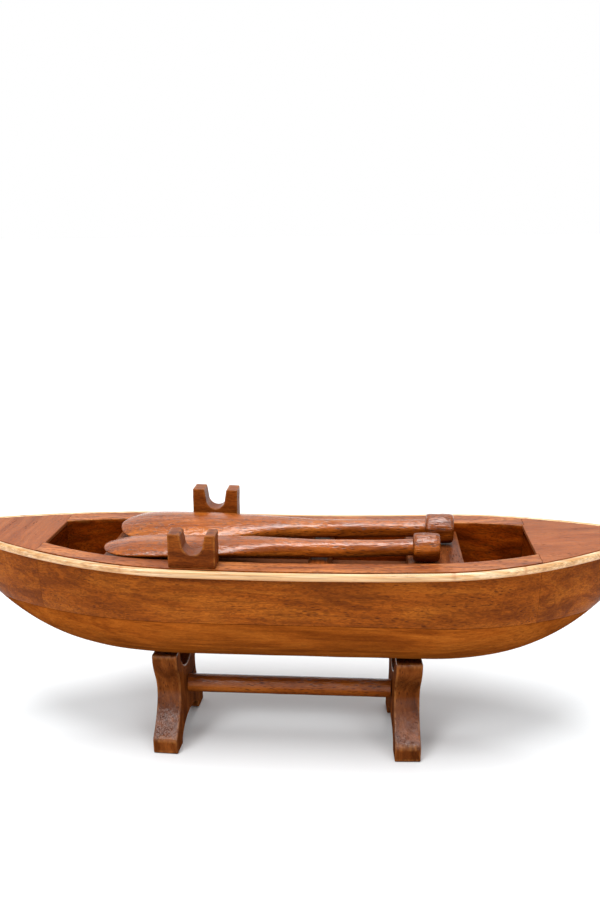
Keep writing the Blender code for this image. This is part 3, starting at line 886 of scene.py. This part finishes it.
def plate_outline(horn_outer):
    """Outline of a stand plate, across Y and up Z, as a closed ring."""
    half = []
    for angle in spread(-math.pi / 2, 0.0, 15):
        half.append((SADDLE_RADIUS * math.cos(angle), HORN_TOP + SADDLE_RADIUS * math.sin(angle)))
    half.append((horn_outer, HORN_TOP))
    top = HORN_TOP - HORN_STRAIGHT
    for share in spread(0.0, 1.0, 12):
        y = WAIST_HALF + (horn_outer - WAIST_HALF) * (1 + math.cos(math.pi * share)) / 2
        half.append((y, top + (WAIST_HEIGHT - top) * share))
    for share in spread(0.0, 1.0, 14)[1:]:
        y = WAIST_HALF + (FOOT_OUTER - WAIST_HALF) * share ** 2
        half.append((y, WAIST_HEIGHT + (FOOT_HEIGHT - WAIST_HEIGHT) * share))
    half.append((FOOT_OUTER, 0.0))
    for angle in spread(0.0, math.pi / 2, 15):
        half.append((ARCH_HALF * math.cos(angle), ARCH_HEIGHT * math.sin(angle)))
    outline = half + [(-y, z) for y, z in reversed(half[1:-1])]
    return outline[::-1]


def stand_plate(name, seed):
    """Hourglass plate of the stand, with its saddle and the arch between its feet."""
    low, high, turn = PLATES[name]
    thick = high - low
    marks = {"crack": PLATE_CRACK[name]} if name in PLATE_CRACK else {}
    look = wood(name + "_wood", dict(STAND, **marks), axis="Z", seed=seed)

    def put(u, v, d):
        wave = PLATE_WAVE * rough(u, v, d + seed, 0.011, 2.0)
        return (d - thick / 2, u + wave, v)

    edges = (PLATE_EDGE, PLATE_CORNER, PLATE_INSET)
    piece = slab(name + "_plate", plate_outline(HORN_OUTER[name]), thick, edges, put, look)
    piece.matrix_world = Matrix.Translation(((low + high) / 2, 0.0, 0.0)) @ \
        Matrix.Rotation(math.radians(turn), 4, "Z")
    place(piece, name)


def dowel():
    """Round rod between the plates, slightly uneven from sanding."""
    low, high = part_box("stand_dowel")
    rows = []
    for x in spread(low.x - GAP, high.x + GAP, ROD_STATIONS):
        row = []
        for i in range(ROD_POINTS):
            a = 2 * math.pi * i / ROD_POINTS
            dip = 1 + rough(x, math.cos(a) * 0.004, math.sin(a) * 0.004, 0.009)
            r = DOWEL_RADIUS * (1 - ROD_WAVE * dip)
            row.append((x, r * math.cos(a), DOWEL_HEIGHT + r * math.sin(a)))
        rows.append(row)
    look = wood("dowel_wood", ROD, seed=95.0)
    place(build("dowel", rows, "canoe", [look]), "stand_dowel")


# Paddles

# Along a paddle as metres from the tip: share of the blade's width, share of its thickness, how
# square the section is, with 2 for an oval and more for a rounded box, and its sag in metres
PADDLE_FORM = (
    (0.0000, 0.06, 0.10, 2.0, 0.0),
    (0.0003, 0.16, 0.20, 2.0, 0.0),
    (0.0008, 0.27, 0.30, 2.0, 0.0),
    (0.0018, 0.42, 0.38, 2.0, 0.0),
    (0.0032, 0.57, 0.46, 2.0, 0.0),
    (0.0060, 0.765, 0.58, 2.0, 0.0),
    (0.0100, 0.920, 0.74, 2.0, 0.0),
    (0.0150, 0.985, 0.90, 2.0, 0.0),
    (0.0210, 1.00, 0.98, 2.0, 0.0),
    (0.0340, 0.985, 1.00, 2.0, 0.0),
    (0.0460, 0.935, 1.00, 2.0, 0.0),
    (0.0560, 0.835, 1.00, 2.0, 0.0),
    (0.0650, 0.690, 1.01, 2.1, 0.0001),
    (0.0740, 0.545, 1.01, 2.3, 0.0002),
    (0.0830, 0.445, 1.00, 2.4, 0.0004),
    (0.0920, 0.385, 0.96, 2.5, 0.0006),
    (0.1000, 0.345, 0.93, 2.4, 0.0007),
)
SHAFT_FORM = ((0.1130, 1.08, 0.0007), (0.1270, 1.00, 0.0005))
SHAFT_FLATNESS = 0.93
# Between these places from the tip the blade's lens turns into the shaft's rounded box
LENS_END = 0.056
BLADE_END = 0.070


def between(table, s):
    """Read a table at a place by smooth interpolation of its rows."""
    last = len(table) - 1
    k = 0
    while k < last - 1 and table[k + 1][0] < s:
        k += 1
    p0 = table[max(k - 1, 0)]
    p1 = table[k]
    p2 = table[k + 1]
    p3 = table[min(k + 2, last)]
    t = min(1.0, max(0.0, (s - p1[0]) / (p2[0] - p1[0])))
    values = []
    for a, b, c, d in zip(p0[1:], p1[1:], p2[1:], p3[1:]):
        slope1 = (c - a) / (p2[0] - p0[0]) * (p2[0] - p1[0])
        slope2 = (d - b) / (p3[0] - p1[0]) * (p2[0] - p1[0])
        h = (2 * t ** 3 - 3 * t ** 2 + 1, t ** 3 - 2 * t ** 2 + t,
             -2 * t ** 3 + 3 * t ** 2, t ** 3 - t ** 2)
        values.append(h[0] * b + h[1] * slope1 + h[2] * c + h[3] * slope2)
    return values


def paddle_frame(size):
    """Where a paddle lies: on both seats, leaning to one side."""
    lean = math.radians(size["lean"])
    half_up = BLADE_THICKNESS / 2 * math.cos(lean)
    half_across = size["width"] / 2 * math.sin(lean)
    blade_z = BOARD_TOP + GAP + math.hypot(half_up, half_across)
    grip_z = BOARD_TOP + GAP + size["grip"] / 2
    run = (size["shaft_end"] + size["grip_end"]) / 2 - size["tip"] - BLADE_REST
    pitch = math.atan((grip_z - blade_z) / run)
    yaw = math.atan((size["grip_y"] - size["blade_y"]) / run)
    start = (size["tip"], size["blade_y"] - BLADE_REST * math.tan(yaw),
             blade_z - BLADE_REST * math.tan(pitch))
    return Matrix.Translation(start) @ Euler((lean, -pitch, yaw)).to_matrix().to_4x4()


def paddle_section(s, wide, thick, square, sag, seed):
    """Ring round a paddle: a crowned lens in the blade that turns into a rounded box."""
    lens = smooth(BLADE_END, LENS_END, s) if s > LENS_END else 1.0
    row = []
    for i in range(PADDLE_POINTS):
        a = 2 * math.pi * i / PADDLE_POINTS
        c = math.cos(a)
        n = math.sin(a)
        u = mix(math.copysign(abs(c) ** (2 / max(square, 2.0)), c), c, lens)
        v_box = math.copysign(abs(n) ** (2 / max(square, 2.0)), n)
        v_lens = math.copysign(0.22 * abs(n) ** 0.5 + 0.78 * (1 - abs(c) ** 2.3), n)
        facet = rough(s, c * 0.010, n * 0.010, 0.0085, seed)
        chip = rough(s, c * 0.004, n * 0.004, 0.0030, seed + 5)
        carve = 1 - mix(0.030, 0.010, lens) * (1 + facet) - 0.008 * (1 + chip)
        row.append((s, wide / 2 * u * carve, thick / 2 * mix(v_box, v_lens, lens) * carve - sag))
    return row


def paddle(name):
    """Hand-carved paddle: a crowned blade, a ridged neck and an uneven shaft."""
    size = PADDLES[name]
    seed = size["seed"]
    neck = PADDLE_FORM[-1][0]
    table = [(s, size["width"] * a, BLADE_THICKNESS * b, c, sag) for s, a, b, c, sag in PADDLE_FORM]
    end = size["shaft_end"] - size["tip"]
    for s, share, sag in SHAFT_FORM + ((end, 0.98, 0.0),):
        across = size["shaft"] * share
        table.append((s, across, across * SHAFT_FLATNESS, 2.25, sag))
    stations = eased(neck, 0.0, PADDLE_STATIONS)[::-1] + spread(neck, end - SEAM, PADDLE_STATIONS)[1:]
    rows = [paddle_section(s, *between(table, s), seed) for s in stations]
    look = wood(name + "_wood", PADDLE, seed=seed)
    piece = build(name + "_carved", rows, name, [look], sharp=60.0)
    piece.matrix_world = paddle_frame(size)
    place(piece, name)


def grip(name):
    """Barrel grip: turned, with its ends rounded and its sides slightly flattened by hand."""
    size = PADDLES[name]
    start = size["shaft_end"] - size["tip"]
    end = size["grip_end"] - size["tip"]
    radius = size["grip"] / 2
    soft = GRIP_EDGE
    seed = size["seed"]
    profile = [(start, 0.55), (start, 0.80)]
    profile += [(start + soft * 0.7 * (1 - math.sin(a)), 0.80 + 0.17 * math.cos(a))
                for a in spread(math.pi / 2, 0.0, 7)]
    profile += [(s, 0.97 + 0.03 * math.sin(math.pi * (s - start) / (end - start)))
                for s in spread(start + soft, end - soft * 1.3, 12)]
    profile += [(end - soft * (1 - math.sin(a)), 0.76 + 0.21 * math.cos(a))
                for a in spread(0.0, math.pi / 2, 7)]
    profile += [(end, 0.5), (end, 0.1)]
    rows = []
    for s, share in profile:
        row = []
        for i in range(GRIP_POINTS):
            a = 2 * math.pi * i / GRIP_POINTS
            dents = 1 + rough(s, math.cos(a) * 0.01, math.sin(a) * 0.01, 0.0045, seed)
            r = radius * share * (1 - 0.012 * (1 + math.cos(7 * a + seed)) - 0.016 * dents)
            row.append((s, r * math.cos(a), r * math.sin(a)))
        rows.append(row)
    look = wood(name + "_grip_wood", GRIP, seed=seed + 40)
    piece = build(name + "_knob", rows, name, [look], sharp=70.0)
    piece.matrix_world = paddle_frame(size)
    place(piece, name + "_grip")


# Camera, floor and light

GROUND_REACH = 20.0
BACKDROP = 1.0
ROOM_GLOW = 0.32
WALL_GLOW = 0.45
ROOF_GLOW = 0.24
FLOOR_SHADE = (0.800, 0.820, 0.832)
# Azimuth from the front towards +X, elevation, power and width
SUNS = {
    "top": (-8.0, 80.0, 2.45, 30.0),
    "key": (-36.0, 42.0, 1.14, 22.0),
    "fill": (38.0, 38.0, 0.45, 22.0),
    "rim": (172.0, 60.0, 0.35, 10.0),
}


def camera():
    """Camera of the photograph, from its angles, place and focal length."""
    yaw, pitch, roll = (math.radians(a) for a in (CAMERA_YAW, CAMERA_PITCH, CAMERA_ROLL))
    ahead = Vector((-math.sin(yaw) * math.cos(pitch), math.cos(yaw) * math.cos(pitch), -math.sin(pitch)))
    right = Vector((math.cos(yaw), math.sin(yaw), 0.0))
    up = right.cross(ahead)
    tilted_right = right * math.cos(roll) + up * math.sin(roll)
    tilted_up = up * math.cos(roll) - right * math.sin(roll)
    turn = Matrix((tilted_right, tilted_up, -ahead)).transposed()
    data = bpy.data.cameras.new("camera")
    data.sensor_width = SENSOR
    data.lens = SENSOR * FOCAL_PIXELS / IMAGE_HEIGHT
    data.shift_x = (IMAGE_WIDTH / 2 - CENTRE_PIXEL[0]) / IMAGE_HEIGHT
    data.shift_y = (CENTRE_PIXEL[1] - IMAGE_HEIGHT / 2) / IMAGE_HEIGHT
    data.clip_start, data.clip_end = CLIP
    view = bpy.data.objects.new("camera", data)
    view.matrix_world = Matrix.Translation(CAMERA_PLACE) @ turn.to_4x4()
    bpy.context.scene.collection.objects.link(view)
    bpy.context.scene.camera = view


def ground():
    """Plain pale floor that reaches the horizon."""
    mesh = bpy.data.meshes.new("ground")
    reach = GROUND_REACH
    corners = [(-reach, -reach, 0), (reach, -reach, 0), (reach, reach, 0), (-reach, reach, 0)]
    mesh.from_pydata(corners, [], [(0, 1, 2, 3)])
    thing = bpy.data.objects.new("ground", mesh)
    bpy.context.scene.collection.objects.link(thing)
    material = bpy.data.materials.new("ground_paper")
    material.use_nodes = True
    shader = material.node_tree.nodes["Principled BSDF"]
    shader.inputs["Base Color"].default_value = (*FLOOR_SHADE, 1.0)
    shader.inputs["Roughness"].default_value = 0.9
    shader.inputs["Specular IOR Level"].default_value = 0.0
    mesh.materials.append(material)


def sun(name, azimuth, elevation, power, width):
    """Distant soft light of a given width in degrees, the same everywhere on the floor."""
    data = bpy.data.lights.new(name, "SUN")
    data.energy = power
    data.angle = math.radians(width)
    lamp = bpy.data.objects.new(name, data)
    a = math.radians(azimuth)
    e = math.radians(elevation)
    towards = Vector((math.sin(a) * math.cos(e), -math.cos(a) * math.cos(e), math.sin(e)))
    lamp.rotation_mode = "QUATERNION"
    lamp.rotation_quaternion = (-towards).to_track_quat("-Z", "Y")
    bpy.context.scene.collection.objects.link(lamp)


def studio():
    """World light of a studio: a dim room, a bright wall behind the object and a soft roof."""
    world = bpy.data.worlds.new("studio")
    world.use_nodes = True
    tree = world.node_tree
    direction = add(tree, "ShaderNodeTexCoord").outputs["Generated"]
    towards = add(tree, "ShaderNodeSeparateXYZ", Vector=direction)
    depth = calc(tree, "MULTIPLY", calc(tree, "ADD", towards.outputs["Y"], 1.0), 0.5)
    behind = ramp(tree, depth, ((0.50, 0.0), (0.70, WALL_GLOW)))
    low = ramp(tree, towards.outputs["Z"], ((0.50, 1.0), (0.75, 0.0)))
    roof = ramp(tree, towards.outputs["Z"], ((0.45, ROOM_GLOW), (0.90, ROOM_GLOW + ROOF_GLOW)))
    glow = calc(tree, "ADD", calc(tree, "MULTIPLY", behind, low), roof)
    seen = add(tree, "ShaderNodeLightPath").outputs["Is Camera Ray"]
    shade = blend(tree, seen, glow, (BACKDROP, BACKDROP, BACKDROP))
    tree.links.new(shade, tree.nodes["Background"].inputs["Color"])
    bpy.context.scene.world = world


def lights():
    """White studio with wide, distant soft lights, which keep the floor even to the horizon."""
    studio()
    for name, row in SUNS.items():
        sun(name, *row)
    bpy.context.scene.view_settings.view_transform = "Standard"
    bpy.context.scene.view_settings.look = "None"


# The whole model

camera()
ground()
lights()
bottom_block()
for end in HULL_ENDS:
    end_block(end)
    deck(end)
for label, side in (("near", -1), ("far", 1)):
    side_plank("side_" + label, side)
    cane_strip("cane_" + label, side)
    rowlock("rowlock_" + label, side)
floor()
seat("seat_bow", 63.0)
seat("seat_stern", 66.0)
thwart()
for label in PADDLES:
    paddle(label)
    grip(label)
stand_plate("stand_bow", 91.0)
stand_plate("stand_stern", 97.0)
dowel()
